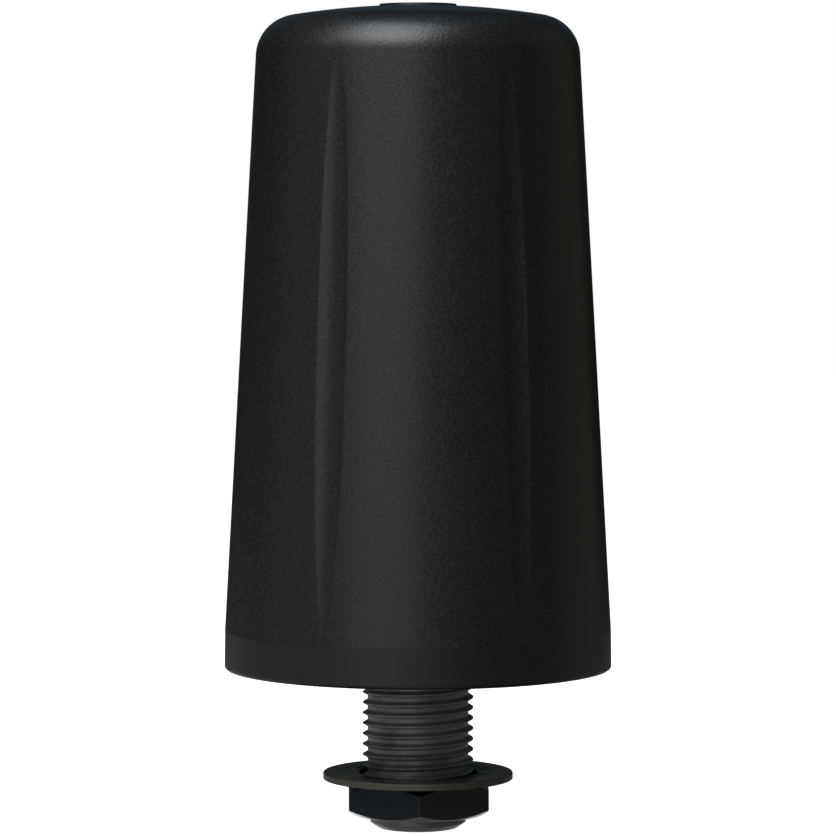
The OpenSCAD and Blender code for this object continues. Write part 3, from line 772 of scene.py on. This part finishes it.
def gold():
    """Flash gold over nickel, a little uneven."""
    s = Surface("gold", roughness=0.22, metallic=1.0)
    patch = s.noise(2500, 3)
    s.colour(s.blend(s.spread(patch, 0.3, 0.7), (0.72, 0.50, 0.18), (0.88, 0.66, 0.30)))
    s.roughness(s.spread(patch, 0.3, 0.7, 0.16, 0.30))
    s.bump(s.noise(7000, 3), 0.003)
    return s.material


def brass():
    """Turned brass with drawing lines along its length."""
    s = Surface("brass", roughness=0.28, metallic=1.0)
    lines = s.noise(1.0, 3, 0.6, s.stretched(7000, 7000, 500))
    tarnish = s.noise(600, 4, 0.6)
    s.colour(s.blend(s.spread(tarnish, 0.35, 0.7), (0.66, 0.47, 0.19), (0.45, 0.32, 0.14)))
    s.roughness(s.spread(lines, 0.3, 0.7, 0.22, 0.36))
    s.bump(lines, 0.004)
    return s.material


def copper():
    """Bare copper strip with a few darker marks of oxide."""
    s = Surface("copper", roughness=0.3, metallic=1.0)
    oxide = s.noise(350, 4, 0.6)
    s.colour(s.blend(s.spread(oxide, 0.4, 0.75), (0.76, 0.36, 0.21), (0.42, 0.19, 0.11)))
    s.roughness(s.spread(oxide, 0.3, 0.7, 0.24, 0.42))
    s.bump(s.noise(4000, 3), 0.004)
    return s.material


def tin_shield():
    """Tinned sheet steel, drawn and slightly clouded."""
    s = Surface("tin_shield", roughness=0.32, metallic=1.0)
    cloud = s.noise(500, 5, 0.65)
    s.colour(s.blend(s.spread(cloud, 0.3, 0.7), (0.52, 0.52, 0.51), (0.68, 0.68, 0.67)))
    s.roughness(s.spread(cloud, 0.3, 0.7, 0.24, 0.42))
    s.bump(s.noise(3000, 4, 0.6), 0.005)
    return s.material


def circuit_board():
    """Green solder resist over copper tracks, with small plated vias."""
    s = Surface("circuit_board", roughness=0.35, coat=0.3, coat_roughness=0.15)
    along = s.spread(s.noise(1.0, 0, 0.5, s.stretched(900, 120, 0)), 0.5, 0.52)
    across = s.spread(s.noise(1.0, 0, 0.5, s.stretched(110, 800, 0)), 0.5, 0.52)
    tracks = s.combine("MAXIMUM", along, across)
    vias = s.spread(s.cells(420), 0.12, 0.10)
    resist = s.blend(tracks, (0.006, 0.075, 0.032), (0.016, 0.150, 0.060))
    s.colour(s.blend(vias, resist, (0.55, 0.42, 0.18)))
    s.roughness(s.spread(s.noise(1200, 3), 0.3, 0.7, 0.28, 0.42))
    s.bump(tracks, 0.03)
    return s.material


def chip_plastic():
    """Filled epoxy, matt and finely speckled."""
    s = Surface("chip_plastic", roughness=0.55)
    speck = s.noise(6000, 4, 0.7)
    s.colour(s.blend(s.spread(speck, 0.3, 0.7), (0.018, 0.018, 0.019), (0.036, 0.036, 0.038)))
    s.roughness(s.spread(speck, 0.3, 0.7, 0.48, 0.62))
    s.bump(speck, 0.008)
    return s.material


def white_plastic():
    """Off-white glass-filled plastic."""
    s = Surface("white_plastic", roughness=0.45)
    fibres = s.noise(1.0, 4, 0.6, s.stretched(1800, 1800, 600))
    patch = s.noise(120, 3)
    tone = s.blend(s.spread(fibres, 0.3, 0.7), (0.68, 0.67, 0.63), (0.78, 0.77, 0.74))
    s.colour(s.blend(s.spread(patch, 0.4, 0.7, 0, 0.4), tone, (0.70, 0.68, 0.60)))
    s.roughness(s.spread(fibres, 0.3, 0.7, 0.38, 0.52))
    s.bump(fibres, 0.008)
    return s.material


def wire_jacket():
    """Extruded jacket with faint lines along the wire."""
    s = Surface("wire_jacket", roughness=0.4)
    lines = s.noise(1.0, 2, 0.5, s.stretched(6000, 6000, 300))
    s.colour(s.blend(s.spread(lines, 0.3, 0.7), (0.030, 0.030, 0.031), (0.050, 0.050, 0.052)))
    s.roughness(s.spread(lines, 0.3, 0.7, 0.34, 0.48))
    s.bump(lines, 0.006)
    return s.material


def foam():
    """Open-celled grey foam."""
    s = Surface("foam", roughness=0.9, specular=0.2)
    cells = s.cells(1400, "SMOOTH_F1")
    s.colour(s.blend(s.spread(cells, 0.1, 0.7), (0.045, 0.045, 0.048), (0.22, 0.22, 0.23)))
    s.roughness(s.spread(cells, 0.1, 0.7, 0.95, 0.85))
    s.bump(cells, 0.25)
    return s.material


# Which CAD nodes carry each material
FINISHES = {
    radome_plastic: ["radome"],
    base_plastic: ["base_housing"],
    rubber: ["radome_seal", "mounting_gasket", "stud_seal", "connector_seal"],
    stud_metal: ["threaded_stud"],
    washer_metal: ["flat_washer"],
    nut_metal: ["hex_nut"],
    steel: ["base_screws", "stud_screws", "feed_screws", "connector_circlip", "backup_cell"],
    connector_metal: ["connector_shell"],
    gold: ["connector_contacts", "antenna_lead", "feed_pins"],
    brass: ["board_spacers", "upper_spacers"],
    copper: ["helix_arms"],
    tin_shield: ["receiver_shield", "lna_shield", "gnss_module"],
    circuit_board: ["main_board", "feed_board"],
    chip_plastic: ["connector_insulator", "board_header", "board_chips", "vent_plug"],
    white_plastic: ["harness_plug", "helix_former", "helix_cap"],
    wire_jacket: ["inner_harness"],
    foam: ["crown_pad"],
}


def dress(obj, material):
    """Gives an object one material in place of those it had."""
    obj.data.materials.clear()
    obj.data.materials.append(material)


def dress_nodes():
    """Gives every CAD node its finish, and returns the materials by name."""
    materials = {}
    for make, nodes in FINISHES.items():
        materials[make.__name__] = make()
        for node in nodes:
            dress(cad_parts[node], materials[make.__name__])
    return materials


def place_piece(obj, node, body, finish):
    """A finer piece that rides on the node's body, stands for the node and takes its finish."""
    dress(obj, materials[finish])
    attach(obj, body)
    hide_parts(node)


# ---------------------------------------------------------------- stage

# Camera and lights in metres and degrees, lens and floor in millimetres
CAMERA_DISTANCE = 0.600
CAMERA_HEIGHT = 0.0693
CAMERA_TILT = 3.14
CAMERA_LENS = 180.6
FLOOR_DROP = 3.0
FLOOR_HALF = 1500.0
LIGHT_CENTRE = Vector((0, 0, 0.045))


def make_camera():
    """A long lens a little above the object's middle, looking slightly down."""
    data = bpy.data.cameras.new("camera")
    data.sensor_width = 36.0
    data.lens = CAMERA_LENS
    data.clip_start = 0.01
    camera = bpy.data.objects.new("camera", data)
    camera.location = (0, -CAMERA_DISTANCE, CAMERA_HEIGHT)
    camera.rotation_euler = (math.radians(90 - CAMERA_TILT), 0, 0)
    bpy.context.scene.collection.objects.link(camera)
    bpy.context.scene.camera = camera


def make_backdrop():
    """White floor below the stud, and the same white all round. Neither lights the object."""
    scene = bpy.context.scene
    scene.view_settings.view_transform = "Standard"
    world = bpy.data.worlds.new("studio")
    world.use_nodes = True
    world.node_tree.nodes["Background"].inputs["Color"].default_value = (1, 1, 1, 1)
    scene.world = world
    world.cycles_visibility.diffuse = False
    world.cycles_visibility.glossy = False
    corners = [(-1, -1), (1, -1), (1, 1), (-1, 1)]
    points = [(x * FLOOR_HALF, y * FLOOR_HALF, STUD_END - FLOOR_DROP) for x, y in corners]
    floor = new_object("floor", points, [(0, 1, 2, 3)])
    material = bpy.data.materials.new("floor_white")
    material.use_nodes = True
    shader = material.node_tree.nodes["Principled BSDF"]
    shader.inputs["Base Color"].default_value = (0.9, 0.9, 0.9, 1)
    shader.inputs["Emission Color"].default_value = (1, 1, 1, 1)
    shader.inputs["Emission Strength"].default_value = 1.0
    dress(floor, material)
    floor.visible_diffuse = False
    floor.visible_glossy = False
    floor.visible_shadow = False


def soft_box(name, azimuth, elevation, width, height, radiance, colour=(1, 1, 1), distance=0.9):
    """A soft box facing the object's middle. Azimuth 0 is the camera's side, positive to its right."""
    a, e = math.radians(azimuth), math.radians(elevation)
    towards = Vector((math.sin(a) * math.cos(e), -math.cos(a) * math.cos(e), math.sin(e)))
    data = bpy.data.lights.new(name, "AREA")
    data.shape = "RECTANGLE"
    data.size, data.size_y = width, height
    data.energy = radiance * math.pi * width * height
    data.color = colour
    light = bpy.data.objects.new(name, data)
    light.location = LIGHT_CENTRE + towards * distance
    light.rotation_mode = "QUATERNION"
    light.rotation_quaternion = towards.to_track_quat("Z", "Y")
    bpy.context.scene.collection.objects.link(light)


def make_lights():
    """Boxes high on the left and a tall one in front, weak fills all round, and light from below."""
    soft_box("high_key", -21, 43, 0.62, 0.40, 6.2, colour=(1.01, 1.00, 0.99))
    soft_box("top_key", -28, 66, 0.56, 0.40, 4.8, colour=(0.93, 1.00, 1.07), distance=0.8)
    soft_box("overhead", 180, 82, 1.00, 0.6, 0.06, colour=(0.35, 1.00, 1.70))
    soft_box("high_left", -60, 42, 0.40, 0.35, 1.8, colour=(1.05, 1.01, 0.92))
    soft_box("front_strip", -21, 8, 0.80, 1.0, 0.59, colour=(0.99, 1.01, 1.00))
    soft_box("left_fill", -75, 8, 0.80, 1.0, 0.145, colour=(0.93, 1.00, 1.10))
    soft_box("right_fill", 45, 8, 1.20, 1.0, 0.045)
    soft_box("nut_fill_left", -63, -8, 0.40, 0.22, 0.09, colour=(0.50, 1.00, 1.35))
    soft_box("nut_fill_right", 64, -12, 0.40, 0.22, 0.13)
    soft_box("right_rim", 115, 8, 0.80, 1.0, 0.11, colour=(1.0, 1.0, 0.8))
    soft_box("low_left", -95, -30, 0.80, 0.5, 0.67, colour=(1.08, 1.00, 0.92))
    soft_box("low_right", 110, -25, 0.70, 0.4, 0.34)
    soft_box("low_front", -5, -40, 0.80, 0.3, 0.50)
    soft_box("rear_right", 170, -24, 0.80, 0.4, 0.85)
    soft_box("rear_left", -150, -24, 0.90, 0.4, 0.85)
    soft_box("low_back", 180, -50, 0.80, 0.5, 0.32)
    soft_box("back_high", 180, 20, 0.80, 0.3, 0.075, colour=(0.40, 1.00, 1.45))
    soft_box("back_low", 180, 6, 0.80, 0.16, 0.035, colour=(1.10, 1.05, 0.80))


# ---------------------------------------------------------------- scene

materials = dress_nodes()
place_piece(make_radome(), "radome", "housing", "radome_plastic")
place_piece(make_base(), "base_housing", "housing", "base_plastic")
place_piece(make_gasket(), "mounting_gasket", "housing", "rubber")
place_piece(make_stud(), "threaded_stud", "housing", "stud_metal")
place_piece(make_washer(), "flat_washer", "washer", "washer_metal")
place_piece(make_nut(), "hex_nut", "nut", "nut_metal")

make_backdrop()
make_lights()
make_camera()
